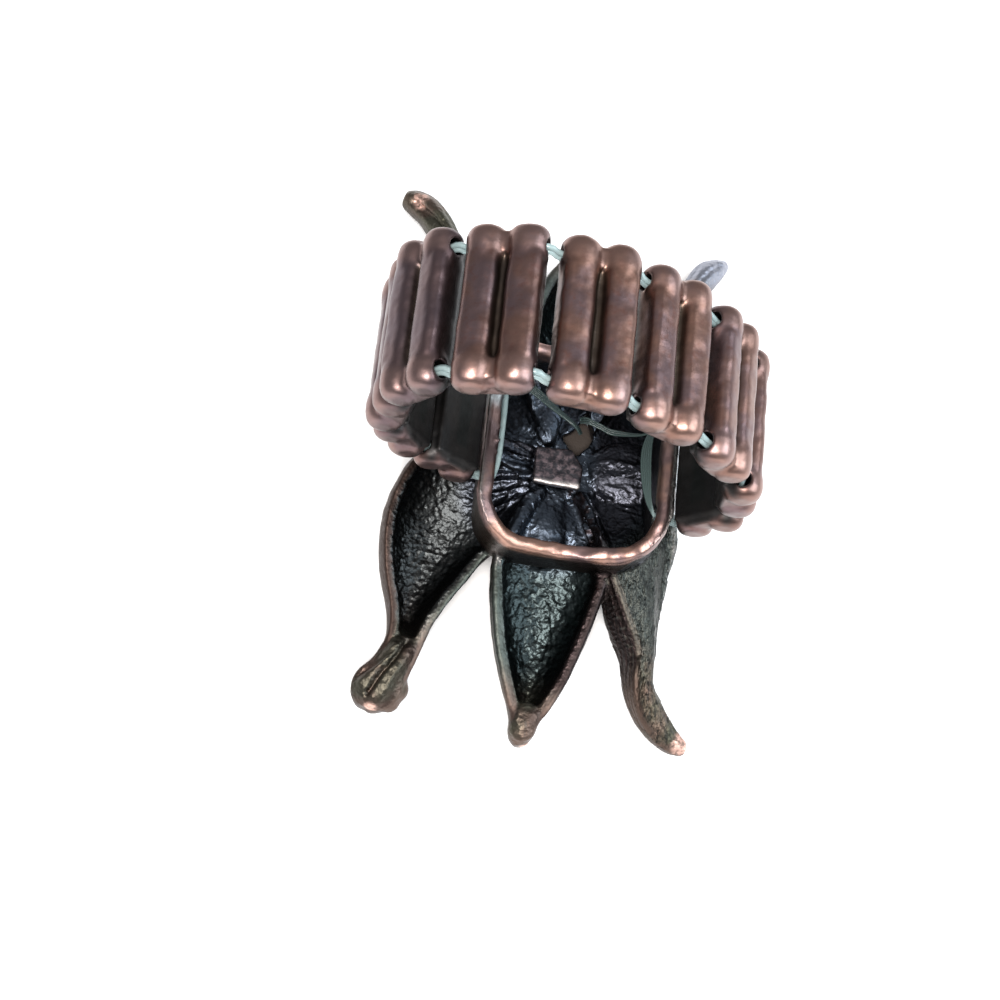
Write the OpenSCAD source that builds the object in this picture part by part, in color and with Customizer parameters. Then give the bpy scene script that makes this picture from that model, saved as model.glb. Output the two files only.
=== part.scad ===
// Stretch ring: ten twin-rib bar beads on clear elastic, with a cast flower head.
// The ring lies face down on its petals. Millimetres, floor at z = 0, finger along Y.

/* [Band] */
// length of a bead
bead_len = 9.6; // [8:0.1:12]
// radius of a rib
rib_r = 1.08; // [0.8:0.05:1.4]
// radius of the rounded end of a rib
knob_r = 1.18; // [0.9:0.02:1.5]
// radius of the edge round its flat end
edge_r = 0.56; // [0.3:0.02:0.8]
// distance between the two ribs of a bead
rib_gap = 2.35; // [2:0.05:3]
// depth of the flat inner face below the rib centres
face_in = 1.3; // [1:0.05:1.8]
// width of the flat inner face
face_w = 3.7; // [3:0.1:5]
// length of the flat inner face
face_len = 8.2; // [6:0.1:10]
// radius of the holes for the elastic
hole_r = 0.72; // [0.5:0.05:0.9]
// distance of each hole from the middle of the bead
hole_at = 3.7; // [2:0.1:4]
// radius of the bridge that joins the two ribs round each hole
bridge_r = 1.0; // [0.8:0.05:1.2]

/* [Elastic] */
// radius of the elastic
elastic_r = 0.35; // [0.3:0.05:0.5]

/* [Gallery] */
// radius of the finger's curve that the rim follows
finger_r = 9; // [8:0.1:11]
// outer half width of the gallery across the finger
gal_x = 6.15; // [5:0.1:8]
// outer half length of the gallery along the finger
gal_y = 7.15; // [5:0.05:9]
// wall of the gallery
gal_wall = 0.9; // [0.7:0.05:1.5]
// outer radius of the gallery's corners
gal_corner = 3.1; // [1.5:0.1:4]
// height of the holes for the elastic below the finger's axis
gal_hole_z = 8.25; // [8:0.1:9]
// radius of these holes
gal_hole_r = 0.7; // [0.5:0.05:0.8]
// distance of each of these holes from the middle
gal_hole_at = 3.4; // [2:0.1:4]
// how far they sit off that, one way on each side
gal_hole_shift = 0.6; // [0:0.05:1]

/* [Flower] */
// thickness of the petals
petal_wall = 0.9; // [0.7:0.05:1.5]
// radius of the hub that joins the petals
hub_r = 3.6; // [2:0.1:5]
// radius of the post through the hub
post_r = 1.0; // [0.6:0.05:1.5]
// radius of the plain flower centre on the front
centre_r = 4.6; // [2:0.1:5]
// gap between the post and the casting
fit_gap = 0.12; // [0.1:0.01:0.3]

/* [Hidden] */
// puts the finger's axis over the middle of the floor
place = [1.62, -0.69, 16.08];

// middle of each bead: across, along, height, turn of its outer face from straight up
bead_rows = [
  [ -8.55, 1.0, -5.96, -135],
  [-11.5,  0.9, -2.2, -115],
  [-12.35, 0.6,  2.55, -83],
  [-11.2,  0.3,  7.25, -55],
  [ -7.1,  0.05,10.2,  -20],
  [ -2.0, -0.1, 10.2,   10],
  [  2.65,-0.3,  8.2,   31],
  [  6.65,-0.6,  4.75,  53],
  [  8.85,-0.8, -0.1,   84],
  [  8.2, -0.8, -5.0,  128]];

// petals: across, along, height of the rim, half width, depth below the rim,
// hollow (1 a trough, 0 solid), tilt about the petal's own line
petal_low_left = [
  [ -1.9, -0.3, -12.1, 1.5, 1.3, 1, 0], [ -4.0, -1.2, -11.5, 2.9, 2.0, 1, 4],
  [ -6.3, -2.8, -11.2, 4.2, 3.0, 1, 8], [ -7.9, -5.2, -11.4, 3.9, 3.6, 1, 12],
  [ -8.68,-8.2, -11.8, 2.95, 3.6, 1, 14], [ -9.05,-11.2, -12.4, 1.6, 3.1, 0.8, 12],
  [ -9.4,-13.1, -12.9, 1.2, 2.7, 0.1, 6], [-10.1,-14.8, -13.1, 1.35, 2.7, 0, 0],
  [-10.75,-16.0, -13.3, 1.65, 2.5, 0, 0], [-11.1,-16.9, -13.6, 1.35, 2.1, 0, 0],
  [-11.25,-17.4, -14.0, 0.7, 1.3, 0, 0]];
petal_low = [
  [ -0.6, -1.7, -12.1, 1.5, 1.3, 1, 0], [ -0.6, -4.4, -11.4, 2.8, 2.1, 1, 0],
  [ -0.65,-7.2, -11.2, 3.8, 3.2, 1, 0], [ -0.75,-9.4, -11.4, 3.57, 3.9, 1, 0],
  [ -0.85,-11.8, -11.8, 3.03, 4.1, 1, 0], [ -0.9,-13.9, -12.2, 2.38, 3.8, 1, 0],
  [ -1.0,-15.7, -12.6, 1.62, 3.2, 0.9, 0], [ -1.15,-17.0, -13.0, 1.0, 2.5, 0.1, 0],
  [ -1.25,-17.9, -13.3, 0.85, 2.1, 0, 0], [ -1.2,-18.6, -13.7, 0.4, 1.2, 0, 0]];
petal_low_right = [
  [  1.2, -0.5, -12.1, 1.5, 1.3, 1, 0], [  3.2, -1.7, -11.5, 2.95, 2.1, 1, 2],
  [  4.85, -3.9, -11.3, 3.0, 2.9, 1, 10], [  5.35, -6.6, -11.8, 2.5, 3.1, 1, 26],
  [  5.85, -9.2, -12.3, 1.75, 3.1, 1, 34], [  6.35,-11.6, -12.9, 0.9, 2.6, 0.9, 34],
  [  6.42,-13.6, -13.3, 0.8, 2.4, 0.1, 20], [  7.0,-15.1, -13.6, 0.95, 2.5, 0, 8],
  [  7.9,-16.4, -13.9, 0.9, 2.2, 0, 0], [  8.9,-17.05, -14.3, 0.7, 1.7, 0, 0],
  [  9.7,-17.2, -14.7, 0.45, 1.1, 0, 0]];
petal_high_left = [
  [ -1.9,  0.5, -12.1, 1.5, 1.3, 1, 0], [ -3.8,  2.0, -11.5, 2.7, 2.0, 1, 0],
  [ -5.6,  4.2, -11.2, 3.4, 3.0, 1, 0], [ -7.0,  7.1, -11.4, 3.3, 3.6, 1, 0],
  [ -8.0, 10.2, -11.8, 2.5, 3.7, 1, 0], [ -8.7, 13.0, -12.3, 1.6, 3.2, 0.7, 0],
  [ -9.45,15.1, -12.8, 0.95, 2.8, 0, 0], [-10.5, 17.05, -13.0, 0.95, 2.7, 0, 0],
  [-11.47,18.42, -13.3, 0.95, 2.4, 0, 0], [-12.55,19.25, -13.7, 0.85, 2.0, 0, 0],
  [-13.4, 19.55, -14.1, 0.5, 1.2, 0, 0]];
petal_high = [
  [ -0.5,  1.7, -12.1, 1.5, 1.3, 1, 0], [ -0.5,  4.4, -11.4, 2.8, 2.1, 1, 0],
  [ -0.5,  7.2, -11.2, 3.6, 3.2, 1, 0], [ -0.5,  9.6, -11.4, 3.45, 3.9, 1, 0],
  [ -0.5, 12.0, -11.8, 2.95, 4.0, 1, 0], [ -0.45,14.0, -12.2, 2.3, 3.6, 1, 0],
  [ -0.4, 15.3, -12.7, 1.5, 2.9, 0.9, 0], [ -0.35,16.0, -13.1, 0.9, 2.2, 0.1, 0],
  [ -0.3, 16.5, -13.6, 0.4, 1.3, 0, 0]];
petal_high_right = [
  [  1.1,  0.5, -12.1, 1.5, 1.3, 1, 0], [  2.9,  2.2, -11.5, 2.9, 2.1, 1, 0],
  [  4.4,  4.6, -11.2, 3.0, 2.9, 1, 0], [  5.4,  7.4, -11.4, 2.7, 3.6, 1, 0],
  [  6.2, 10.2, -11.9, 2.0, 3.7, 1, 0], [  6.9, 12.7, -12.5, 1.3, 3.3, 0.7, 0],
  [  7.7, 14.9, -13.1, 0.95, 2.8, 0, 0], [  8.58, 16.55, -13.5, 1.0, 2.4, 0, 0],
  [  9.5, 17.6, -14.0, 0.75, 1.8, 0, 0], [ 10.2, 18.3, -14.7, 0.35, 1.0, 0, 0]];

// ribs cast on the petals' roots: from and to, across, along and height
root_rows = [
  [ -2.8,  0.4, -12.2,  -5.6,  0.8, -12.6], [ -2.7, -0.6, -12.2,  -5.6, -1.6, -12.9],
  [ -2.65,-1.8, -12.2,  -5.3, -3.9, -12.8], [ -1.6, -2.2, -12.2,  -2.4, -6.1, -12.9],
  [ -0.6, -2.3, -12.3,  -0.6, -6.4, -13.2], [  0.5, -2.2, -12.2,   1.2, -6.1, -12.9],
  [  1.5, -1.3, -12.2,   4.8, -4.4, -12.8], [  1.7, -0.4, -12.2,   5.2, -1.8, -12.6],
  [  2.2,  1.2, -12.2,   4.9,  3.2, -12.6], [ -1.0,  2.2, -12.2,  -1.6,  6.0, -12.9],
  [ -0.2,  3.9, -12.3,   0.2,  6.4, -13.2], [ -2.2,  1.5, -12.2,  -4.8,  4.4, -12.8]];
root_r = 0.22;

// small solid nubs at the petals' tips: across, along, height, radius
nub_rows = [
  [ -9.45,-16.35, -14.6, 0.75], [ -1.3,-18.05, -14.3, 0.65], [-12.75, 19.25, -14.9, 0.6]];

// leaf-shaped hole beside the post plate: across, along
leaf_rows = [[0.42, 1.05], [-0.4, 1.9], [-0.62, 2.45], [0.2, 3.0], [0.6, 3.55], [0.68, 4.25],
  [0.98, 4.25], [1.05, 3.55], [1.25, 3.05], [1.5, 2.55], [1.2, 1.85]];

// middle of the post, and the outline of its plate round that middle
post_at = [-0.6, -0.2];
plate_rows = [[-1.8, -1.3], [1.35, -1.45], [1.47, 0.12], [0.62, 1.3], [-1.83, 1.22]];

// the elastic between the last beads and the gallery: across, distance of a run from the middle,
// shift along, height
left_end = [[-5.3, 3.4, 0.6, -8.25], [-5.75, 3.4, 0.6, -8.25], [-6.1, 3.42, 0.63, -8.22],
  [-6.5, 3.55, 0.77, -8.03], [-6.78, 3.67, 0.94, -7.65]];
right_end = [[6.68, 3.7, -0.8, -6.8], [6.66, 3.66, -0.78, -7.25], [6.62, 3.6, -0.73, -7.68],
  [6.44, 3.5, -0.66, -8.02], [6.05, 3.42, -0.61, -8.17], [5.7, 3.4, -0.6, -8.2],
  [5.3, 3.4, -0.6, -8.2]];
// how far to each side of a bead's middle the elastic runs straight
reach = 2.15;
leg_x = 4.75;
leg_y = [3.0, 1.5];
elastic_sides = 8;

ring_sides = 16;
lip_angle = 18;
steps_per_row = 2;

function bead_pos(i) = [bead_rows[i][0], bead_rows[i][1], bead_rows[i][2]];
function bead_dir(i) = [cos(bead_rows[i][3]), 0, -sin(bead_rows[i][3])];
function bead_out(i) = [sin(bead_rows[i][3]), 0, cos(bead_rows[i][3])];
function unit(v) = v / norm(v);
function count() = len(bead_rows);

module placed() { translate(place) children(); }

// one rib along Y, with a rounded swelling at each end
module rib() {
  rotate([90, 0, 0]) cylinder(r = rib_r, h = bead_len - 2 * knob_r, center = true, $fn = 48);
  for (e = [-1, 1]) {
    translate([0, e * (bead_len / 2 - knob_r), 0]) sphere(r = knob_r, $fn = 48);
    translate([0, e * (bead_len / 2 - edge_r), 0]) rotate([90, 0, 0]) {
      rotate_extrude($fn = 48) translate([knob_r - edge_r, 0]) circle(r = edge_r, $fn = 24);
      cylinder(r = knob_r - edge_r, h = 2 * edge_r, center = true, $fn = 48);
    }
  }
}

// one bead with its outer face towards +Z
module bead_body() {
  difference() {
    union() {
      for (s = [-1, 1]) translate([s * rib_gap / 2, 0, 0]) rib();
      translate([-face_w / 2, -face_len / 2, -face_in]) cube([face_w, face_len, face_in - 0.25]);
      for (e = [-1, 1]) translate([0, e * hole_at, -0.15]) rotate([0, 90, 0])
        cylinder(r = bridge_r, h = rib_gap, center = true, $fn = 32);
    }
    for (e = [-1, 1]) translate([0, e * hole_at, -0.15]) rotate([0, 90, 0])
      cylinder(r = hole_r, h = 6, center = true, $fn = 32);
  }
}

module bead(i) {
  color([0.44, 0.34, 0.32]) placed() translate(bead_pos(i)) rotate([0, bead_rows[i][3], 0]) bead_body();
}

module bead_1() { bead(0); }
module bead_2() { bead(1); }
module bead_3() { bead(2); }
module bead_4() { bead(3); }
module bead_5() { bead(4); }
module bead_6() { bead(5); }
module bead_7() { bead(6); }
module bead_8() { bead(7); }
module bead_9() { bead(8); }
module bead_10() { bead(9); }

// elastic: two runs through the beads, joined by a leg along each side wall
function in_bead(i, s, e) = bead_pos(i) + s * reach * bead_dir(i) - 0.15 * bead_out(i)
  + [0, e * hole_at, 0];
function run(e) = concat(
  [for (p = left_end) [p[0], e * p[1] + p[2], p[3]]],
  [for (i = [0 : count() - 1], s = [-1, 0, 1]) in_bead(i, s, e)],
  [for (p = right_end) [p[0], e * p[1] + p[2], p[3]]]);
function leg(s) = [for (y = [leg_y[0], leg_y[1], 0, -leg_y[1], -leg_y[0]])
  [s * leg_x, y - s * gal_hole_shift, -gal_hole_z]];
function back(list) = [for (i = [len(list) - 1 : -1 : 0]) list[i]];
near_run = run(-1);
far_run = back(run(1));
loop_pts = concat(near_run, back(leg(1)), far_run, leg(-1));
loop_side = concat([for (p = near_run) 1], [for (p = leg(1)) 0], [for (p = far_run) -1],
  [for (p = leg(-1)) 0]);

function tangent(pts, i) = let (n = len(pts)) unit(pts[(i + 1) % n] - pts[(i + n - 1) % n]);
function ring_x(t, s) = s == 0 ? unit(cross([0, 0, -1], t)) : unit([0, s, 0] - t * (t * [0, s, 0]));
function tube_pts(pts, side) = [for (i = [0 : len(pts) - 1])
  let (t = tangent(pts, i), a = ring_x(t, side[i]), b = cross(t, a))
  for (k = [0 : elastic_sides - 1]) let (w = 360 * k / elastic_sides)
  pts[i] + elastic_r * (cos(w) * a + sin(w) * b)];
function tube_faces(n, m) = [for (i = [0 : n - 1], k = [0 : m - 1])
  let (a = i * m + k, b = i * m + (k + 1) % m, c = ((i + 1) % n) * m + (k + 1) % m,
    d = ((i + 1) % n) * m + k)
  each [[a, c, b], [a, d, c]]];

module elastic() {
  color([0.72, 0.78, 0.76]) placed()
    polyhedron(tube_pts(loop_pts, loop_side), tube_faces(len(loop_pts), elastic_sides), convexity = 10);
}

// petals: a hollow-backed shell swept along the rows of a table
function row_at(rows, i) = rows[max(0, min(len(rows) - 1, i))];
function blend(rows, i, t) = let (a = row_at(rows, i - 1), b = row_at(rows, i), c = row_at(rows, i + 1),
  d = row_at(rows, i + 2))
  0.5 * ((2 * b) + (c - a) * t + (2 * a - 5 * b + 4 * c - d) * t * t + (3 * b - a - 3 * c + d) * t * t * t);
function smooth(rows) = concat([for (i = [0 : len(rows) - 2], k = [0 : steps_per_row - 1])
  blend(rows, i, k / steps_per_row)], [rows[len(rows) - 1]]);
function tilted(u, z, a) = [u * cos(a) - z * sin(a), u * sin(a) + z * cos(a)];
function shell_ring(r, dir, wall) = let (w = r[3], t = min(wall, 0.5 * w),
  deep = r[4] / (1 + sin(lip_angle)), low = -deep * sin(lip_angle), half = ring_sides / 2,
  n = [dir[1], -dir[0]],
  arc = 180 + 2 * lip_angle, v = w - t, h = max(0, min(1, r[5])),
  q = h * max(0.1, deep - t) - (1 - h) * 0.4 * deep,
  section = concat(
    [for (k = [0 : half - 1]) let (a = lip_angle - arc * k / (half - 1))
      [w * cos(a), low + deep * sin(a)]],
    [for (k = [0 : half - 1]) let (a = -180 - lip_angle + arc * k / (half - 1))
      [v * cos(a), low + q * sin(a) + 0.02]]))
  [for (p = section) let (s = tilted(p[0], p[1], r[6]))
    [r[0] + n[0] * s[0], r[1] + n[1] * s[0], r[2] + s[1]]];
function flow(rs, i) = let (a = rs[max(0, i - 1)], b = rs[min(len(rs) - 1, i + 1)])
  unit([b[0] - a[0], b[1] - a[1]]);

module petal(rows) {
  rs = smooth(rows);
  n = len(rs);
  m = ring_sides;
  pts = [for (i = [0 : n - 1]) each shell_ring(rs[i], flow(rs, i), petal_wall)];
  sides = [for (i = [0 : n - 2], k = [0 : m - 1])
    let (a = i * m + k, b = i * m + (k + 1) % m, c = (i + 1) * m + (k + 1) % m, d = (i + 1) * m + k)
    each [[a, c, b], [a, d, c]]];
  half = m / 2;
  first = [for (k = [0 : half - 2]) each [[k, k + 1, m - 1 - k], [k + 1, m - 2 - k, m - 1 - k]]];
  last = [for (k = [0 : half - 2]) let (o = (n - 1) * m)
    each [[o + k, o + m - 1 - k, o + k + 1], [o + k + 1, o + m - 1 - k, o + m - 2 - k]]];
  polyhedron(pts, concat(sides, first, last), convexity = 10);
}

module rounded(x, y, r) {
  square([2 * x, 2 * (y - r)], center = true);
  square([2 * (x - r), 2 * y], center = true);
  for (i = [-1, 1], j = [-1, 1]) translate([i * (x - r), j * (y - r)]) circle(r = r, $fn = 28);
}

module gallery() {
  difference() {
    translate([0, 0, -12.0]) linear_extrude(height = 6) difference() {
      rounded(gal_x, gal_y, gal_corner);
      rounded(gal_x - gal_wall, gal_y - gal_wall, gal_corner - gal_wall);
    }
    rotate([90, 0, 0]) cylinder(r = finger_r, h = 40, center = true, $fn = 56);
    for (s = [-1, 1], e = [-1, 1])
      translate([s * gal_x, e * gal_hole_at - s * gal_hole_shift, -gal_hole_z])
        rotate([0, 90, 0]) cylinder(r = gal_hole_r, h = 4, center = true, $fn = 24);
  }
}

module root_rib(r) {
  hull() {
    translate([r[0], r[1], r[2]]) sphere(r = root_r, $fn = 8);
    translate([r[3], r[4], r[5]]) sphere(r = root_r, $fn = 8);
  }
}

module flower_head() {
  color([0.26, 0.28, 0.30]) placed() difference() {
    union() {
      gallery();
      petal(petal_low_left);
      petal(petal_low);
      petal(petal_low_right);
      petal(petal_high_left);
      petal(petal_high);
      petal(petal_high_right);
      translate([post_at[0], post_at[1], -13.6]) cylinder(r = hub_r, h = 1.2, $fn = 48);
      for (r = root_rows) root_rib(r);
      for (r = nub_rows) translate([r[0], r[1], r[2]]) sphere(r = r[3], $fn = 12);
    }
    translate([post_at[0], post_at[1], -20]) cylinder(r = post_r + fit_gap, h = 20, $fn = 32);
    translate([0, 0, -20]) linear_extrude(height = 20) polygon(leaf_rows);
  }
}

module stamen_post() {
  color([0.30, 0.30, 0.33]) placed() translate([post_at[0], post_at[1], 0]) {
    translate([0, 0, -11.95]) linear_extrude(height = 0.5) polygon(plate_rows);
    translate([0, 0, -14.2]) cylinder(r = post_r, h = 2.5, $fn = 32);
    difference() {
      translate([0, 0, -14.6]) sphere(r = centre_r, $fn = 48);
      translate([-5, -5, -13.83 - fit_gap]) cube([10, 10, 10]);
      translate([-5, -5, -25.7]) cube([10, 10, 10]);
    }
  }
}

bead_1();
bead_2();
bead_3();
bead_4();
bead_5();
bead_6();
bead_7();
bead_8();
bead_9();
bead_10();
elastic();
flower_head();
stamen_post();
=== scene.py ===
import math
import bpy
import numpy as np
from collections import namedtuple
from mathutils import Matrix, Vector, noise
from mathutils.kdtree import KDTree


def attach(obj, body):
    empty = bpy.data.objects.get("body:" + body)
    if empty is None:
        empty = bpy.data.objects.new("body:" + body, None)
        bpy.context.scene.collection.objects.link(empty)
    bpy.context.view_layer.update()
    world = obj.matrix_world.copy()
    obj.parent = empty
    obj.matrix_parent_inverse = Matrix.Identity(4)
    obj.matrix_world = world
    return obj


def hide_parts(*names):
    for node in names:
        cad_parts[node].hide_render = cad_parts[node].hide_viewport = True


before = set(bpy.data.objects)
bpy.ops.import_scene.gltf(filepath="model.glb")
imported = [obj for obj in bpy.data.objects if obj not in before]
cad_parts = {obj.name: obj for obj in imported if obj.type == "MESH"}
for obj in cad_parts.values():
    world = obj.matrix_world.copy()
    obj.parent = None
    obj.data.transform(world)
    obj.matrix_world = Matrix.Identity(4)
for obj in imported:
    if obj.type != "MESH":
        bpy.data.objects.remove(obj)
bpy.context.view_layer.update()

# The pieces are modelled in millimetres with the finger's axis along Y through the origin,
# and each finished piece is set in its place in metres at the end.
MM = 0.001
FINGER = Vector((1.62, -0.69, 16.08))
# with no window, transform.rotate turns the other way
TURN = -1
# the side of a drawn trough that its thickness goes to
SHELL = -1
# sides of a round bar
BAR_SIDES = 28

# middle of each bead: across, along, height, turn of its outer face from straight up
BEADS = (
    (-8.55, 1.0, -5.96, -135), (-11.5, 0.9, -2.2, -115), (-12.35, 0.6, 2.55, -83), (-11.2, 0.3, 7.25, -55),
    (-7.1, 0.05, 10.2, -20), (-2.0, -0.1, 10.2, 10), (2.65, -0.3, 8.2, 31), (6.65, -0.6, 4.75, 53),
    (8.85, -0.8, -0.1, 84), (8.2, -0.8, -5.0, 128))
# how plum-coloured each bead's plate is
PLUM = (0.3, 0.5, 0.9, 1.0, 0.25, 0.0, 0.0, 0.15, 0.35, 0.4)
BEAD_LEN, RIB_GAP = 9.6, 2.35
# the elastic's holes in a bead: distance from its middle, height and radius
HOLE_AT, HOLE_LIFT, HOLE_R = 3.7, -0.15, 0.52

# petals: across, along, height of the rim, half width, depth below the rim,
# hollow (1 a trough, 0 solid), tilt about the petal's own line
PETALS = {
    "low_left": (
        (-1.9, -0.3, -12.1, 1.5, 1.3, 1, 0), (-4.0, -1.2, -11.5, 2.9, 2.0, 1, 4),
        (-6.3, -2.8, -11.2, 4.2, 3.0, 1, 8), (-7.9, -5.2, -11.4, 3.9, 3.6, 1, 12),
        (-8.68, -8.2, -11.8, 2.95, 3.6, 1, 14), (-9.05, -11.2, -12.4, 1.6, 3.1, 0.8, 12),
        (-9.4, -13.1, -12.9, 1.2, 2.7, 0.1, 6), (-10.1, -14.8, -13.1, 1.35, 2.7, 0, 0),
        (-10.75, -16.0, -13.3, 1.65, 2.5, 0, 0), (-11.1, -16.9, -13.6, 1.35, 2.1, 0, 0),
        (-11.25, -17.4, -14.0, 0.7, 1.3, 0, 0)),
    "low": (
        (-0.6, -1.7, -12.1, 1.5, 1.3, 1, 0), (-0.6, -4.4, -11.4, 2.8, 2.1, 1, 0),
        (-0.65, -7.2, -11.2, 3.8, 3.2, 1, 0), (-0.75, -9.4, -11.4, 3.57, 3.9, 1, 0),
        (-0.85, -11.8, -11.8, 3.03, 4.1, 1, 0), (-0.9, -13.9, -12.2, 2.38, 3.8, 1, 0),
        (-1.0, -15.7, -12.6, 1.62, 3.2, 0.9, 0), (-1.15, -17.0, -13.0, 1.0, 2.5, 0.1, 0),
        (-1.25, -17.9, -13.3, 0.85, 2.1, 0, 0), (-1.2, -18.6, -13.7, 0.4, 1.2, 0, 0)),
    "low_right": (
        (1.2, -0.5, -12.1, 1.5, 1.3, 1, 0), (3.2, -1.7, -11.5, 2.95, 2.1, 1, 2),
        (4.85, -3.9, -11.3, 3.0, 2.9, 1, 10), (5.35, -6.6, -11.8, 2.5, 3.1, 1, 26),
        (5.85, -9.2, -12.3, 1.75, 3.1, 1, 34), (6.35, -11.6, -12.9, 0.9, 2.6, 0.9, 34),
        (6.42, -13.6, -13.3, 0.8, 2.4, 0.1, 20), (7.0, -15.1, -13.6, 0.95, 2.5, 0, 8),
        (7.9, -16.4, -13.9, 0.9, 2.2, 0, 0), (8.9, -17.05, -14.3, 0.7, 1.7, 0, 0),
        (9.7, -17.2, -14.7, 0.45, 1.1, 0, 0)),
    "high_left": (
        (-1.9, 0.5, -12.1, 1.5, 1.3, 1, 0), (-3.8, 2.0, -11.5, 2.7, 2.0, 1, 0),
        (-5.6, 4.2, -11.2, 3.4, 3.0, 1, 0), (-7.0, 7.1, -11.4, 3.3, 3.6, 1, 0),
        (-8.0, 10.2, -11.8, 2.5, 3.7, 1, 0), (-8.7, 13.0, -12.3, 1.6, 3.2, 0.7, 0),
        (-9.45, 15.1, -12.8, 0.95, 2.8, 0, 0), (-10.5, 17.05, -13.0, 0.95, 2.7, 0, 0),
        (-11.47, 18.42, -13.3, 0.95, 2.4, 0, 0), (-12.55, 19.25, -13.7, 0.85, 2.0, 0, 0),
        (-13.4, 19.55, -14.1, 0.5, 1.2, 0, 0)),
    "high": (
        (-0.5, 1.7, -12.1, 1.5, 1.3, 1, 0), (-0.5, 4.4, -11.4, 2.8, 2.1, 1, 0),
        (-0.5, 7.2, -11.2, 3.6, 3.2, 1, 0), (-0.5, 9.6, -11.4, 3.45, 3.9, 1, 0),
        (-0.5, 12.0, -11.8, 2.95, 4.0, 1, 0), (-0.45, 14.0, -12.2, 2.3, 3.6, 1, 0),
        (-0.4, 15.3, -12.7, 1.5, 2.9, 0.9, 0), (-0.35, 16.0, -13.1, 0.9, 2.2, 0.1, 0),
        (-0.3, 16.5, -13.6, 0.4, 1.3, 0, 0)),
    "high_right": (
        (1.1, 0.5, -12.1, 1.5, 1.3, 1, 0), (2.9, 2.2, -11.5, 2.9, 2.1, 1, 0),
        (4.4, 4.6, -11.2, 3.0, 2.9, 1, 0), (5.4, 7.4, -11.4, 2.7, 3.6, 1, 0),
        (6.2, 10.2, -11.9, 2.0, 3.7, 1, 0), (6.9, 12.7, -12.5, 1.3, 3.3, 0.7, 0),
        (7.7, 14.9, -13.1, 0.95, 2.8, 0, 0), (8.58, 16.55, -13.5, 1.0, 2.4, 0, 0),
        (9.5, 17.6, -14.0, 0.75, 1.8, 0, 0), (10.2, 18.3, -14.7, 0.35, 1.0, 0, 0)),
}
# how far a trough's edge lies above the middle of its section, in degrees
LIP = 18
PETAL_WALL = 0.7
# beads along the petals' edges: place across the section in degrees, radius, first and last row
LIPS = {
    "low_left": ((16, 0.12, 2.6, 6.6), (9, 0.09, 2.2, 6.8), (2, 0.1, 2.6, 6.2), (-6, 0.08, 2.4, 6.6),
                 (-197, 0.16, 2.8, 5.4), (-192, 0.18, 4.6, 7.0)),
    "low": ((15, 0.3, 2.3, 7.0), (4, 0.22, 2.3, 6.6), (-197, 0.1, 2.7, 5.2), (-196, 0.16, 4.6, 7.0)),
    "low_right": ((16, 0.16, 3.2, 7.8), (4, 0.12, 3.0, 7.6), (-10, 0.1, 3.2, 7.0), (-26, 0.1, 3.2, 6.6)),
    "high_left": ((16, 0.28, 2.9, 6.0), (-196, 0.28, 2.9, 6.0)),
    "high": ((16, 0.3, 3.2, 7.0), (-196, 0.3, 3.2, 7.0)),
    "high_right": ((16, 0.26, 2.9, 6.0), (-196, 0.26, 2.9, 6.0)),
}
# how far such a bead's middle lies in from the petal's face, as a share of its radius
SUNK = 0.6
# how far up each trough is filled by a smooth belly
BELLY = {"low_right": 0.96}
# solid nubs at the petals' tips: across, along, height, and how far they reach across and up
NUBS = (
    (-9.5, -15.9, -14.25, 0.85, 0.85), (-9.9, -16.65, -14.3, 0.82, 0.75), (-10.0, -15.8, -13.9, 1.15, 0.7),
    (-11.75, -16.3, -14.4, 0.6, 0.55), (-10.9, -17.05, -14.5, 0.6, 0.55), (-1.12, -16.85, -13.05, 1.0, 0.45),
    (-1.2, -17.6, -13.3, 0.85, 0.5), (-1.45, -17.95, -14.4, 0.55, 0.6), (-1.05, -18.0, -14.3, 0.5, 0.5),
    (9.35, -17.1, -15.2, 0.5, 0.5), (-12.85, 19.3, -14.75, 0.62, 0.75), (9.9, 18.0, -15.1, 0.42, 0.45),
    (0.5, 16.2, -14.3, 0.4, 0.5))
# smooth swells on the petals' roots: place and size
SWELLS = (((3.9, 0.35, -12.5), (2.6, 2.2, 0.5)), ((-1.7, 3.2, -12.0), (0.9, 1.9, 0.55)),
          ((-1.15, -4.3, -13.2), (1.7, 2.5, 1.05)))
# ends of the tips where wear shows copper, brightened further as a painted highlight: across, along, height,
# reach
WORN_GLINTS = ((-11.0, -17.3, -13.7, 0.5), (-1.0, -18.35, -14.0, 0.45), (9.45, -17.2, -14.2, 1.1),
        (-12.2, 18.9, -13.3, 0.8))
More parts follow.
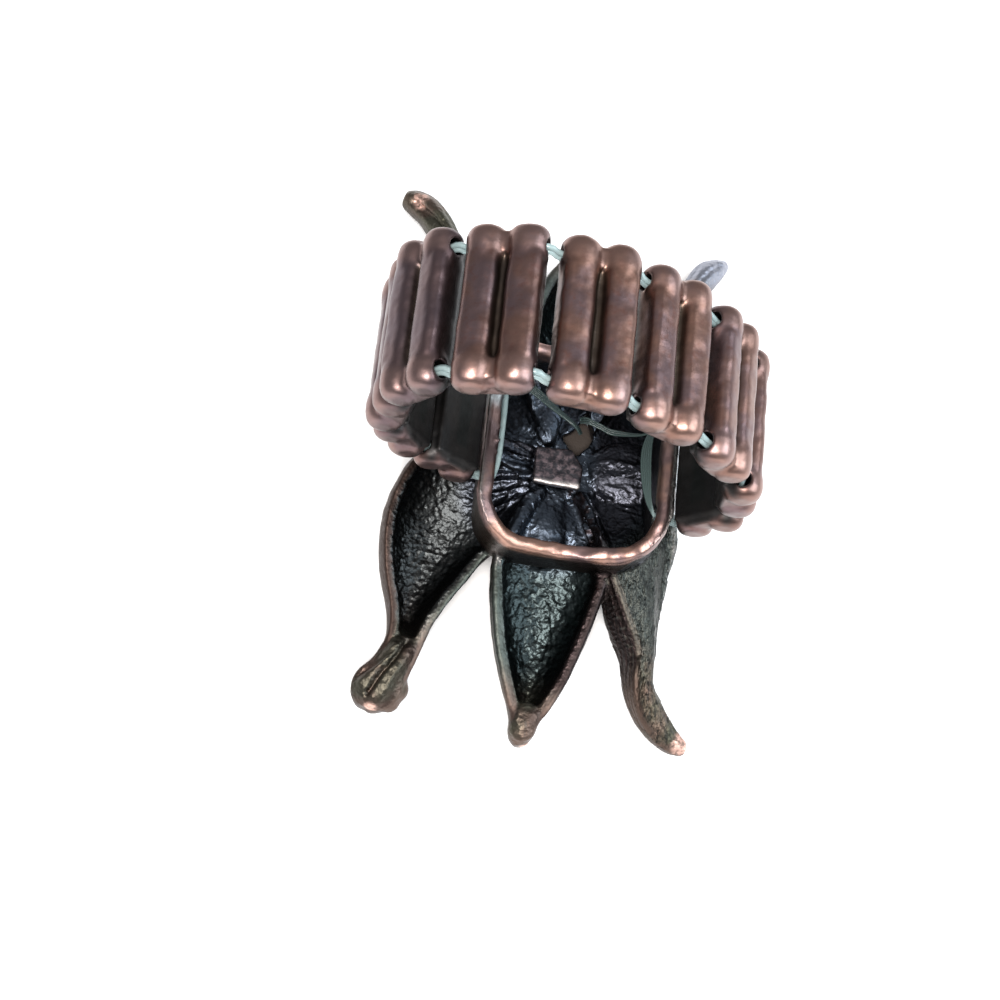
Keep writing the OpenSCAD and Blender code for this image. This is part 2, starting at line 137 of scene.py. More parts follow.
# folds on the tips and ridges on the roots: width, height (below zero is a groove), points across and along
FOLDS = (
    (0.17, -0.4, ((-9.2, -13.0), (-9.75, -14.1), (-10.6, -15.2), (-11.3, -16.6))),
    (0.3, 0.14, ((-9.9, -13.5), (-10.7, -14.8), (-11.9, -16.0))),
    (0.12, -0.14, ((-9.8, -13.6), (-10.9, -14.7), (-12.1, -15.5))),
    (0.2, 0.1, ((-8.9, -13.8), (-9.9, -15.5), (-10.4, -16.8))),
    (0.24, -0.35, ((-12.7, 18.9), (-11.9, 18.0), (-10.6, 16.9), (-9.9, 15.9))),
    (0.16, 0.14, ((5.9, -12.2), (6.35, -13.6), (6.9, -14.9), (7.4, -15.7))),
    (0.14, -0.12, ((6.2, -12.8), (6.8, -14.3), (7.6, -15.8), (8.6, -16.8))),
    (0.2, -0.14, ((7.7, 15.0), (8.8, 16.6), (9.6, 17.5))),
    (0.4, -0.5, ((0.4, -2.4), (1.0, -3.6), (1.6, -4.9))),
    (0.13, 0.22, ((0.9, -1.7), (1.8, -3.2), (2.35, -4.9))),
    (0.12, 0.18, ((1.3, -1.6), (2.4, -3.0), (3.1, -4.7))),
    (0.14, 0.22, ((-2.7, 0.1), (-3.9, 0.3), (-5.2, 0.2))),
    (0.14, 0.24, ((-2.6, -0.55), (-3.8, -0.45), (-5.3, -0.7))),
    (0.13, 0.2, ((-2.7, -1.15), (-4.0, -1.25), (-5.2, -1.5))),
    (0.14, 0.24, ((-2.6, -1.7), (-3.7, -1.95), (-5.0, -2.3))),
    (0.13, 0.2, ((-2.3, -2.2), (-3.4, -2.7), (-4.6, -3.2))),
)
# outline of the leaf-shaped hole in the hub
LEAF = ((0.42, 1.05), (-0.4, 1.9), (-0.62, 2.45), (0.2, 3.0), (0.6, 3.55), (0.68, 4.25),
        (0.98, 4.25), (1.05, 3.55), (1.25, 3.05), (1.5, 2.55), (1.2, 1.85))
# drops of solder where the rim is joined: place and size
SOLDER = (((-5.6, 3.2, -8.1), (0.42, 0.75, 0.4)), ((-5.7, 2.0, -8.2), (0.34, 0.5, 0.34)),
          ((-4.9, 5.6, -8.2), (0.5, 0.45, 0.36)), ((5.55, 1.2, -7.9), (0.3, 0.7, 0.4)))
# middle of the flower's centre post, and its plate's outline from there
POST = (-0.6, -0.2)
PLATE = ((-1.8, -1.3), (1.35, -1.45), (1.47, 0.12), (0.62, 1.3), (-1.83, 1.22))
# the flower's centre, a slice of a ball: its radius, its middle's height, and its back and face
CENTRE_R, CENTRE_Z, CENTRE_BACK, CENTRE_FACE = 4.6, -14.6, -13.95, -15.7
# half the gallery's size each way, its wall and corners, and the radius of the finger's curve
GALLERY_X, GALLERY_Y, WALL, CORNER, FINGER_R = 6.15, 7.15, 0.9, 3.1, 9.0
# the elastic's holes in the gallery: distance from its middle, shift on each side, height and radius
GALLERY_HOLE, HOLE_SHIFT, GALLERY_HOLE_Z, GALLERY_HOLE_R = 3.4, 0.6, -8.25, 0.7
# how far the rim's wire lies in from the wall and below the cut, and its radius
RIM_IN, RIM_R = 0.42, 0.5
# the head is thinned to this many triangles
HEAD_TRIANGLES = 190000
# the photograph's camera: its place in metres, the way it looks and the way up in the picture
EYE, LOOK = (-0.010247, -0.039085, 0.105313), (0.0698, 0.3297, -0.9415)
PICTURE_UP = (-0.1359, 0.9381, 0.3185)


# Hand tools
def put_down():
    """Leaves edit mode with nothing selected."""
    if bpy.context.object and bpy.context.object.mode != "OBJECT":
        bpy.ops.object.mode_set(mode="OBJECT")
    bpy.ops.object.select_all(action="DESELECT")


def pick_up(*pieces):
    """Selects pieces in object mode, the first one active."""
    put_down()
    for piece in pieces:
        piece.select_set(True)
    bpy.context.view_layer.objects.active = pieces[0]


def edit(piece):
    pick_up(piece)
    bpy.ops.object.mode_set(mode="EDIT")


def edit_all(piece):
    """Opens a piece in edit mode with all of it selected."""
    edit(piece)
    bpy.ops.mesh.select_all(action="SELECT")


def settle():
    """Takes the active piece's place, turn and size into its mesh."""
    bpy.ops.object.transform_apply(location=True, rotation=True, scale=True)


def choose(piece, kind, wanted):
    """Opens a piece in edit mode with only the vertices, edges or faces that are wanted selected."""
    edit(piece)
    bpy.ops.mesh.select_mode(type=kind)
    bpy.ops.mesh.select_all(action="DESELECT")
    bpy.ops.object.mode_set(mode="OBJECT")
    mesh = piece.data
    for item in {"VERT": mesh.vertices, "EDGE": mesh.edges, "FACE": mesh.polygons}[kind]:
        item.select = bool(wanted(item))
    bpy.ops.object.mode_set(mode="EDIT")


def fresh(name):
    """Names the piece that an operator has just made."""
    piece = bpy.context.object
    piece.name = piece.data.name = name
    return piece


def finish_modifier(piece, kind, **settings):
    """Puts a modifier on a piece and applies it."""
    pick_up(piece)
    modifier = piece.modifiers.new(kind.lower(), kind)
    for key, value in settings.items():
        setattr(modifier, key, value)
    bpy.ops.object.modifier_apply(modifier=modifier.name)


def joined(name, pieces):
    pick_up(*pieces)
    bpy.ops.object.join()
    return fresh(name)


def spun_bar(name, stations):
    """A bar along Y: a ring extruded from station to station, each with its place and radius."""
    put_down()
    place, radius = stations[0]
    bpy.ops.mesh.primitive_circle_add(vertices=BAR_SIDES, radius=radius, fill_type="NGON",
                                      location=(0, place, 0), rotation=(math.pi / 2, 0, 0))
    piece = fresh(name)
    settle()
    edit_all(piece)
    for next_place, next_radius in stations[1:]:
        bpy.ops.mesh.extrude_region_move(TRANSFORM_OT_translate={"value": (0, next_place - place, 0)})
        grow = next_radius / radius
        bpy.ops.transform.resize(value=(grow, 1, grow), center_override=(0, next_place, 0))
        place, radius = next_place, next_radius
    bpy.ops.mesh.select_all(action="SELECT")
    bpy.ops.mesh.normals_make_consistent(inside=False)
    put_down()
    return piece


def block(name, low, high, edge):
    """A block between two corners with its edges rounded."""
    put_down()
    low, high = Vector(low), Vector(high)
    bpy.ops.mesh.primitive_cube_add(size=1, location=(low + high) / 2)
    piece = fresh(name)
    piece.scale = high - low
    settle()
    edit_all(piece)
    bpy.ops.mesh.bevel(offset=edge, segments=3, affect="EDGES")
    put_down()
    return piece


def tube(name, points, radius, closed=False, sides=3, radii=None):
    """A round wire along points, turned into a mesh, with radii as shares of its radius."""
    put_down()
    bpy.ops.curve.primitive_nurbs_path_add()
    piece = fresh(name)
    curve = piece.data
    curve.splines.clear()
    spline = curve.splines.new("POLY")
    spline.points.add(len(points) - 1)
    for k, (point, spot) in enumerate(zip(points, spline.points)):
        spot.co = (*point, 1)
        spot.radius = radii[k] if radii else 1
    spline.use_cyclic_u = closed
    curve.dimensions = "3D"
    curve.bevel_depth = radius
    curve.bevel_resolution = sides
    curve.use_fill_caps = not closed
    bpy.ops.object.convert(target="MESH")
    return fresh(name)


def smooth_rows(rows, steps):
    """Rows between the table's rows on one smooth curve."""
    rows = [np.array(r, float) for r in rows]
    out = []
    for k in range(len(rows) - 1):
        a, b, c, d = rows[max(k - 1, 0)], rows[k], rows[k + 1], rows[min(k + 2, len(rows) - 1)]
        for j in range(steps):
            t = j / steps
            out.append(0.5 * (2 * b + (c - a) * t + (2 * a - 5 * b + 4 * c - d) * t * t
                              + (3 * b - a - 3 * c + d) * t ** 3))
    return out + [rows[-1]]


Section = namedtuple("Section", "row middle across up half deep hollow turn tilt")


def petal_sections(rows, steps=4):
    """For each row of a petal: its section's middle, its ways across and up, its size and its turns."""
    smoothed, rise = smooth_rows(rows, steps), math.sin(math.radians(LIP))
    out = []
    for k, (x, y, rim, half, deep, hollow, tilt) in enumerate(smoothed):
        before, after = smoothed[max(k - 1, 0)], smoothed[min(k + 1, len(smoothed) - 1)]
        along = Vector((after[0] - before[0], after[1] - before[1], 0)).normalized()
        side, lift, lean = Vector((along.y, -along.x, 0)), Vector((0, 0, 1)), math.radians(tilt)
        deep = deep / (1 + rise)
        across = side * math.cos(lean) + lift * math.sin(lean)
        up = lift * math.cos(lean) - side * math.sin(lean)
        out.append(Section(k / steps, Vector((x, y, rim)) - up * deep * rise, across, up, half, deep,
                           min(max(hollow, 0), 1), math.atan2(side.y, side.x), lean))
    return out


def on_petal(section, angle, inset=0.0):
    """The point at an angle round a petal's section, inset from its outer face."""
    a = math.radians(angle)
    return (section.middle + section.across * (max(section.half - inset, 0.05) * math.cos(a))
            + section.up * (max(section.deep - inset, 0.05) * math.sin(a)))


def lip(name, rows, angle, radius, first, last):
    """A bead along a petal that grows out of the metal at both ends."""
    line = [s for s in petal_sections(rows) if first <= s.row <= last]
    points = [on_petal(s, angle, radius * SUNK) for s in line]
    radii = [min(1, (s.row - first) / 0.8 + 0.3, (last - s.row) / 0.8 + 0.4)
             * (1 + 0.14 * noise.noise(Vector(p) * 1.3)) for s, p in zip(line, points)]
    return tube(name + "_lip", points, radius, radii=radii)


def draw_out(ring, shapes):
    """Extrudes a ring in the XZ plane through shapes: place, width, height, turn and tilt."""
    turn_now, tilt_now, wide_now, high_now, spot = 0.0, 0.0, 1.0, 1.0, Vector((0, 0, 0))
    for k, (place, wide, high, turn, tilt) in enumerate(shapes):
        if k:
            bpy.ops.mesh.extrude_region_move(TRANSFORM_OT_translate={"value": (0, 0, 0)})
            bpy.ops.transform.rotate(value=TURN * -turn_now, orient_axis="Z", center_override=spot)
            bpy.ops.transform.rotate(value=TURN * tilt_now, orient_axis="Y", center_override=spot)
        bpy.ops.transform.resize(value=(wide / wide_now, 1, high / high_now), center_override=spot)
        bpy.ops.transform.rotate(value=TURN * -tilt, orient_axis="Y", center_override=spot)
        bpy.ops.transform.rotate(value=TURN * turn, orient_axis="Z", center_override=spot)
        bpy.ops.transform.translate(value=place - spot)
        turn_now, tilt_now, wide_now, high_now, spot = turn, tilt, wide, high, place
    put_down()
    return ring


def petal(name, rows):
    """An open trough drawn out along its rows and given its thickness."""
    put_down()
    bpy.ops.mesh.primitive_circle_add(vertices=40, radius=1, fill_type="NOTHING",
                                      rotation=(math.pi / 2, 0, 0))
    trough = fresh(name)
    settle()
    height = math.sin(math.radians(LIP)) + 0.001
    choose(trough, "VERT", lambda v: v.co.z > height)
    bpy.ops.mesh.delete(type="VERT")
    bpy.ops.mesh.select_all(action="SELECT")
    draw_out(trough, [(s.middle, s.half, s.deep, s.turn, s.tilt) for s in petal_sections(rows)])
    finish_modifier(trough, "SOLIDIFY", thickness=PETAL_WALL, offset=SHELL)
    return face_out(trough)


def filling(section, belly):
    """Middle, half width and half height of the bar that fills a section, or nothing where it is empty."""
    # a belly rises over the first two and a half rows
    full = max(1 - section.hollow, belly * min(1, section.row / 2.5))
    if full < 0.06:
        return None
    # the bar stays a little inside the trough's outer face
    high = 0.81 * full
    wide = 0.97 * math.sqrt(1 - (1 - high) ** 2)
    return section.middle + section.up * section.deep * (high - 1), section.half * wide, section.deep * high


def tip(name, rows, belly):
    """The solid end of a petal: a bar that rises out of the trough's floor and fills it."""
    put_down()
    bpy.ops.mesh.primitive_circle_add(vertices=BAR_SIDES, radius=1, fill_type="NGON",
                                      rotation=(math.pi / 2, 0, 0))
    bar = fresh(name + "_tip")
    settle()
    edit_all(bar)
    filled = [(filling(s, belly), s) for s in petal_sections(rows)]
    shapes = [(*fill, s.turn, s.tilt) for fill, s in filled if fill]
    draw_out(bar, shapes)
    return face_out(bar)


def face_out(piece):
    """Merges doubles and turns every face of a closed piece outwards."""
    edit_all(piece)
    bpy.ops.mesh.remove_doubles(threshold=0.0001)
    bpy.ops.mesh.normals_make_consistent(inside=False)
    put_down()
    return piece


def cut(piece, tool, solver="EXACT"):
    """Takes a tool's shape out of a piece and clears the tool away."""
    finish_modifier(piece, "BOOLEAN", object=tool, operation="DIFFERENCE", solver=solver)
    bpy.data.objects.remove(tool)


def rod(name, middle, radius, length, axis, sides):
    turn = {"X": (0, math.pi / 2, 0), "Y": (math.pi / 2, 0, 0), "Z": (0, 0, 0)}[axis]
    put_down()
    bpy.ops.mesh.primitive_cylinder_add(vertices=sides, radius=radius, depth=length, location=middle,
                                        rotation=turn)
    piece = fresh(name)
    settle()
    return piece


def prism(name, outline, low, high):
    """An outline pulled up from one height to another."""
    put_down()
    bpy.ops.mesh.primitive_circle_add(vertices=len(outline), radius=1, fill_type="NGON")
    piece = fresh(name)
    for v, (x, y) in zip(piece.data.vertices, outline):
        v.co = (x, y, low)
    edit_all(piece)
    bpy.ops.mesh.extrude_region_move(TRANSFORM_OT_translate={"value": (0, 0, high - low)})
    bpy.ops.mesh.select_all(action="SELECT")
    bpy.ops.mesh.normals_make_consistent(inside=False)
    put_down()
    return piece


def pebble(name, middle, size):
    """A ball stretched to its size each way."""
    put_down()
    bpy.ops.mesh.primitive_uv_sphere_add(segments=32, ring_count=16, radius=1, location=middle)
    piece = fresh(name)
    piece.scale = size
    settle()
    return piece


def gallery_wall():
    """The rounded wall, cut to the finger's curve and drilled for the elastic."""
    put_down()
    bpy.ops.mesh.primitive_cube_add(size=1, location=(0, 0, -9.2))
    wall = fresh("gallery")
    wall.scale = (2 * GALLERY_X, 2 * GALLERY_Y, 6)
    settle()
    corner = wall.data.vertices
    choose(wall, "EDGE", lambda e: abs(corner[e.vertices[0]].co.z - corner[e.vertices[1]].co.z) > 1)
    bpy.ops.mesh.bevel(offset=CORNER, segments=10, affect="EDGES")
    choose(wall, "FACE", lambda f: abs(f.normal.z) > 0.9)
    bpy.ops.mesh.delete(type="FACE")
    bpy.ops.mesh.select_mode(type="VERT")
    put_down()
    finish_modifier(wall, "SOLIDIFY", thickness=WALL, offset=-1)
    face_out(wall)
    cut(wall, rod("finger", (0, 0, 0), FINGER_R, 40, "Y", 96))
    for side in (-1, 1):
        for end in (-1, 1):
            place = (side * GALLERY_X, end * GALLERY_HOLE - side * HOLE_SHIFT, GALLERY_HOLE_Z)
            cut(wall, rod("drill", place, GALLERY_HOLE_R, 4, "X", 24))
    return wall


def rim_line():
    """Points close together round the rim, at the height of the finger's curve."""
    x, y, r = GALLERY_X - RIM_IN, GALLERY_Y - RIM_IN, CORNER - RIM_IN
    path = []
    for cx, cy, start in ((x - r, y - r, 0), (r - x, y - r, 90), (r - x, r - y, 180), (x - r, r - y, 270)):
        for k in range(13):
            a = math.radians(start + 90 * k / 12)
            path.append((cx + r * math.cos(a), cy + r * math.sin(a)))
    full = []
    for k, (px, py) in enumerate(path):
        qx, qy = path[(k + 1) % len(path)]
        steps = max(1, int(math.hypot(qx - px, qy - py) / 0.4))
        full += [(px + (qx - px) * j / steps, py + (qy - py) * j / steps) for j in range(steps)]
    return [Vector((px, py, -math.sqrt(FINGER_R ** 2 - px * px) - RIM_IN)) for px, py in full]


def gallery(line):
    """The wall with a wire-round rim along its top and drops of solder where they join."""
    wall = gallery_wall()
    radii = [1 + 0.12 * noise.noise(p / 1.1) + 0.05 * noise.noise(p / 0.4) for p in line]
    rim = tube("gallery_rim", line, RIM_R, closed=True, sides=5, radii=radii)
    solder = [pebble("solder", place, size) for place, size in SOLDER]
    return joined("gallery", [wall, rim, *solder])


def tree(points):
    found = KDTree(len(points))
    for k, p in enumerate(points):
        found.insert(p, k)
    found.balance()
    return found


def read_vertices(piece, what):
    flat = np.empty(len(piece.data.vertices) * 3)
    piece.data.vertices.foreach_get(what, flat)
    return flat.reshape(-1, 3)


def spots(piece):
    return read_vertices(piece, "co")


def facings(piece):
    return read_vertices(piece, "normal")


def move_out(piece, amount):
    """Moves each vertex along its normal."""
    moved = spots(piece) + facings(piece) * amount[:, None]
    piece.data.vertices.foreach_set("co", moved.ravel())
    piece.data.update()


def mark(piece, name, values):
    """Keeps a value from 0 to 1 at each vertex, for the piece's finish."""
    layer = piece.data.attributes.new(name, "FLOAT", "POINT")
    layer.data.foreach_set("value", np.clip(values, 0, 1))


def step(low, high, x):
    """A smooth step from 0 at low to 1 at high."""
    t = np.clip((x - low) / (high - low), 0, 1)
    return t * t * (3 - 2 * t)


def set_in_place(piece, turn=0, middle=(0, 0, 0)):
    """Turns a finished piece, sets it in its place and brings it from millimetres to metres."""
    pick_up(piece)
    spun = Matrix.Rotation(math.radians(turn), 4, "Y")
    piece.matrix_world = Matrix.Scale(MM, 4) @ Matrix.Translation(Vector(middle) + FINGER) @ spun
    settle()
    put_down()


def cast_smooth(piece, voxel, rounds):
    """Makes one skin of a piece and softens it, as casting does."""
    finish_modifier(piece, "REMESH", mode="VOXEL", voxel_size=voxel)
    finish_modifier(piece, "SMOOTH", iterations=rounds, factor=0.5)
    return piece


def smooth_shade(piece):
    pick_up(piece)
    bpy.ops.object.shade_smooth()
    put_down()


def grain(points, size, seed):
    """Smooth unevenness with bumps of about one size."""
    shift = Vector((seed * 7.3, seed * 3.1, seed * 5.7))
    return np.array([noise.noise(Vector(p) / size + shift, noise_basis="BLENDER") for p in points])


def nodules(points, size, seed):
    """Round grains packed side by side as seen from above, 0 between them and 1 on top."""
    u, v = points[:, 0] / size, points[:, 1] / size + 0.5 * points[:, 2] / size
    x, y = 0.83 * u - 0.56 * v, 0.56 * u + 0.83 * v
    col, row = np.floor(x), np.floor(y)
    near = np.full(len(points), 9.0)
    for i in (-1, 0, 1):
        for j in (-1, 0, 1):
            c, r = col + i, row + j
            a = np.sin(c * 12.99 + r * 78.23 + seed) * 4375.85
            b = np.sin(c * 39.34 + r * 11.13 + seed) * 2371.47
            far = np.hypot(c + 0.5 + 0.45 * (2 * (a % 1) - 1) - x, r + 0.5 + 0.45 * (2 * (b % 1) - 1) - y)
            near = np.minimum(near, far / (0.55 + 0.3 * ((a + b) % 1)))
    return np.sqrt(np.clip(1 - near ** 2, 0, 1))


# Beads
def cast_bead():
    """One bead with its outer face up: two flat-topped ribs with round knobs, bridged round both holes."""
    half = BEAD_LEN / 2
    end = ((half, 0.5), (half - 0.05, 0.74), (half - 0.18, 0.93), (half - 0.4, 1.08), (half - 0.8, 1.17),
           (half - 1.3, 1.18), (half - 1.8, 1.12), (half - 2.4, 1.02), (half - 3.2, 0.96))
    stations = [(-y, r) for y, r in end] + [(0, 0.95)] + [(y, r) for y, r in reversed(end)]
    parts = []
    for side in (-1, 1):
        rib = spun_bar("rib", stations)
        edit_all(rib)
        bpy.ops.transform.translate(value=(side * RIB_GAP / 2, 0, 0))
        put_down()
        x, y, y_end = side * 1.21, side * 3.75, side * 4.3
        parts += [rib, block("rib_body", (x - 0.97, -3.6, -1.05), (x + 0.97, 3.6, 1.06), 0.62)]
        parts.append(block("bridge", (-1.2, y - 0.65, -1.2), (1.2, y + 0.65, 0.66), 0.2))
        parts.append(block("bridge_end", (-1.0, y_end - 0.3, -1.15), (1.0, y_end + 0.3, 0.25), 0.15))
    parts.append(block("bead_back", (-1.9, -4.2, -1.3), (1.9, 4.2, -0.3), 0.16))
    parts.append(block("web", (-0.8, -3.4, -1.0), (0.8, 3.4, 0.3), 0.1))
    bead = joined("bead", parts)
    cast_smooth(bead, 0.1, 1)
    for place in (-HOLE_AT, HOLE_AT):
        cut(bead, rod("drill", (0, place, HOLE_LIFT), HOLE_R, 6, "X", 24))
    cast_smooth(bead, 0.1, 3)
    p = spots(bead)
    across, along, height = np.abs(p[:, 0]), np.abs(p[:, 1]), p[:, 2]
    groove = step(0.95, 0.35, height) * step(0.8, 0.3, across) * step(3.5, 2.9, along)
    # painted shade: darker on the rib sides, the underside and round the holes
    side = step(0.2, -0.7, height) * step(1.2, 1.9, across)
    under = step(-0.8, -1.15, height)
    hole = step(0.8, HOLE_R, np.hypot(along - HOLE_AT, height - HOLE_LIFT)) * step(2.2, 1.9, across)
    mark(bead, "groove", groove)
    mark(bead, "dark", np.maximum.reduce([side, under, hole]))
    # brighter knob tops: wear, with a painted highlight
    mark(bead, "knob", step(2.9, 3.7, along) * step(0.1, 0.8, height))
    return bead


def band(bead):
    """Ten castings from one pattern, each with its own small dents."""
    beads = []
    for k, (x, y, z, turn) in enumerate(BEADS):
        pick_up(bead)
        bpy.ops.object.duplicate(linked=False)
        piece = fresh(f"bar_bead_{k + 1}")
        p = spots(piece)
        move_out(piece, 0.045 * grain(p, 1.5, k + 1) + 0.012 * grain(p, 0.5, k + 31) + 0.01)
        set_in_place(piece, turn, (x, y, z))
        # painted shade: darker on the faces that turn down
        mark(piece, "low", step(0.35, -0.4, facings(piece)[:, 2]))
        mark(piece, "plum", np.full(len(p), PLUM[k]))
        smooth_shade(piece)
        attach(piece, "root")
        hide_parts(f"bead_{k + 1}")
        piece.data.materials.clear()
        beads.append(piece)
    bpy.data.objects.remove(bead)
    return beads


# Flower head
# what is known at each vertex of the head: its place, how far it faces up, the number of its petal, its way
# along and round that petal, 1 on the inner face, 1 where the petal is hollow, its distances from the petal,
# the rim, the nearest lip and the post, and its angle round the post
Survey = namedtuple("Survey", "places x y z facing petal along angle inner hollow far rim lip hub round_hub")


def head_samples():
    """Points on the petals' faces, each with its petal, way along, angle, inner face and hollow."""
    points, facts = [], []
    for number, (name, rows) in enumerate(PETALS.items()):
        walked, last = 0.0, None
        for s in petal_sections(rows):
            walked += (s.middle - last).length if last else 0
            last = s.middle
            for inner in (1, 0):
                for a in range(-198, 19, 9):
                    points.append(on_petal(s, a, PETAL_WALL * inner))
                    facts.append((number, walked, a, inner, s.hollow))
            fill = filling(s, BELLY.get(name, 0))
            if fill:
                for a in range(15, 166, 10):
                    r = math.radians(a)
                    points.append(fill[0] + s.across * fill[1] * math.cos(r) + s.up * fill[2] * math.sin(r))
                    facts.append((number, walked, -a, 1, s.hollow))
    return tree(points), np.array(facts, float)


def lip_samples():
    """Points along the beads on the petals' edges, each with its bead's radius."""
    points, radii = [], []
    for name, rows in PETALS.items():
        for angle, radius, first, last in LIPS[name]:
            sections = [s for s in petal_sections(rows, 8) if first <= s.row <= last]
            points += [on_petal(s, angle, radius * SUNK) for s in sections]
            radii += [radius] * len(sections)
    return points, radii


def distance_to(piece, points, sizes=None):
    """How far each vertex is from the nearest point, less the size of what stands there."""
    near = tree(points)
    found = [near.find(v.co) for v in piece.data.vertices]
    return np.array([far - (sizes[k] if sizes else 0) for _, k, far in found])


def survey(head, samples, facts, rim, lips):
    """Reads the head at each vertex against the petals' samples, the rim's line and the lips' points."""
    found = np.empty((len(head.data.vertices), 6))
    for k, v in enumerate(head.data.vertices):
        _, index, far = samples.find(v.co)
        found[k, :5] = facts[index]
        found[k, 5] = far
    p = spots(head)
    dx, dy = p[:, 0] - POST[0], p[:, 1] - POST[1]
    return Survey(p, *p.T, facings(head)[:, 2], *found.T, distance_to(head, rim), distance_to(head, *lips),
                  np.hypot(dx, dy), np.arctan2(dy, dx))


def by_petal(at, rest, **values):
    """A value for each vertex: its own petal's where one is given, or else the rest."""
    for name, value in values.items():
        rest = np.where(at.petal == list(PETALS).index(name), value, rest)
    return rest


def plan_distance(p, points):
    """How far each vertex is, seen from above, from a line through points."""
    near = np.full(len(p), 99.0)
    for (ax, ay), (bx, by) in zip(points, points[1:]):
        vx, vy = bx - ax, by - ay
        t = np.clip(((p[:, 0] - ax) * vx + (p[:, 1] - ay) * vy) / (vx * vx + vy * vy), 0, 1)
        near = np.minimum(near, np.hypot(p[:, 0] - ax - t * vx, p[:, 1] - ay - t * vy))
    return near


def rays(turns, far, often, reach, shift):
    """Ridges that run out from the post, closer together as often grows and longer as reach grows."""
    return np.array([noise.noise(Vector((t * often, r / reach, shift))) for t, r in zip(turns, far)])


def cast_head(rim):
    """Petals, gallery, hub, nubs and swells cast in one, with the leaf-shaped hole and the post's hole."""
    parts = []
    for name, rows in PETALS.items():
        parts += [petal("petal_" + name, rows), tip(name, rows, BELLY.get(name, 0))]
        parts += [lip(name, rows, *line) for line in LIPS[name]]
    parts.append(gallery(rim))
    parts.append(rod("hub", (*POST, -13.1), 2.7, 1.2, "Z", 64))
    parts += [pebble("nub", (x, y, z), (r, r, h)) for x, y, z, r, h in NUBS]
    parts += [pebble("swell", place, size) for place, size in SWELLS]
    head = joined("flower_casting", parts)
    finish_modifier(head, "REMESH", mode="VOXEL", voxel_size=0.13)
    cut(head, prism("leaf_cutter", LEAF, -20, -6), "FAST")
    cut(head, rod("post_drill", (*POST, -13), 1.12, 12, "Z", 32), "FAST")
    return cast_smooth(head, 0.12, 3)


def carve(head, at):
    """The cast surface: ridged roots, grains in the hollows, folds on the tips and an uneven rim."""
    off_rim, in_hub = step(0.55, 0.8, at.rim), step(-9.6, -10.2, at.z)
    root = step(7.4, 5.4, at.hub) * (step(0.0, 0.35, at.facing) * step(0.6, 0.85, at.rim) * in_hub)
    # the near root is a smooth belly, with sharp ridges to its left and fine lines to its right
    near = step(0.75, 0.35, np.abs(at.round_hub + 1.75))
    left = step(0.75, 0.4, np.abs(np.abs(at.round_hub) - 3.05))
    right = step(1.35, 0.8, np.abs(at.round_hub + 0.15))
    turns = at.round_hub + 0.12 * grain(at.places, 1.6, 9)
    lines = ((0.45 - 0.3 * right) * rays(turns, at.hub, 8, 3, 3)
             + (0.5 - 0.3 * right) * rays(turns, at.hub, 21, 2, 8)
             + 0.4 * right * rays(turns, at.hub, 48, 1.4, 5))
    height = root * (0.21 + 0.14 * left - 0.17 * near) * lines

    hollow = at.inner * step(0.75, 0.35, at.far) * at.hollow
    away = step(6.0, 7.6, at.hub) * hollow * step(0.06, 0.35, at.lip) * off_rim
    away *= step(106, 88, np.abs(at.angle + 90))
    fine = by_petal(at, 0.055, low=0.075, low_right=0.0)
    grains = by_petal(at, nodules(at.places, 0.36, 5), low=nodules(at.places, 0.42, 3))
    height += (away * fine + 0.04 * (root * near)) * (grains - 0.6)

    combed = np.array([noise.noise(Vector((a / 4.0, w / 1.5, n * 5)))
                       for n, w, a in zip(at.petal, at.along, at.angle)])
    combing = by_petal(at, 0.0, low_right=0.09) * step(5.5, 7.5, at.hub) * off_rim
    height += combing * combed * step(0.0, 0.2, at.lip)

    folds = np.zeros(len(at.x))
    for width, high, points in FOLDS:
        folds += high * np.exp(-(plan_distance(at.places, points) / width) ** 2) * step(0.1, 0.5, at.facing)
    height += folds
    height += 0.03 * grain(at.places, 0.9, 4) * step(0.5, 0.7, at.rim)
    height += (0.07 * grain(at.places, 1.2, 6) + 0.04 * grain(at.places, 0.6, 7)) * step(0.7, 0.5, at.rim)
    # the gallery's right wall stands out a little
    height += 0.12 * step(5.9, 6.1, at.x) * step(5.0, 4.0, np.abs(at.y)) * step(-11.6, -11.0, at.z)
    move_out(head, height)


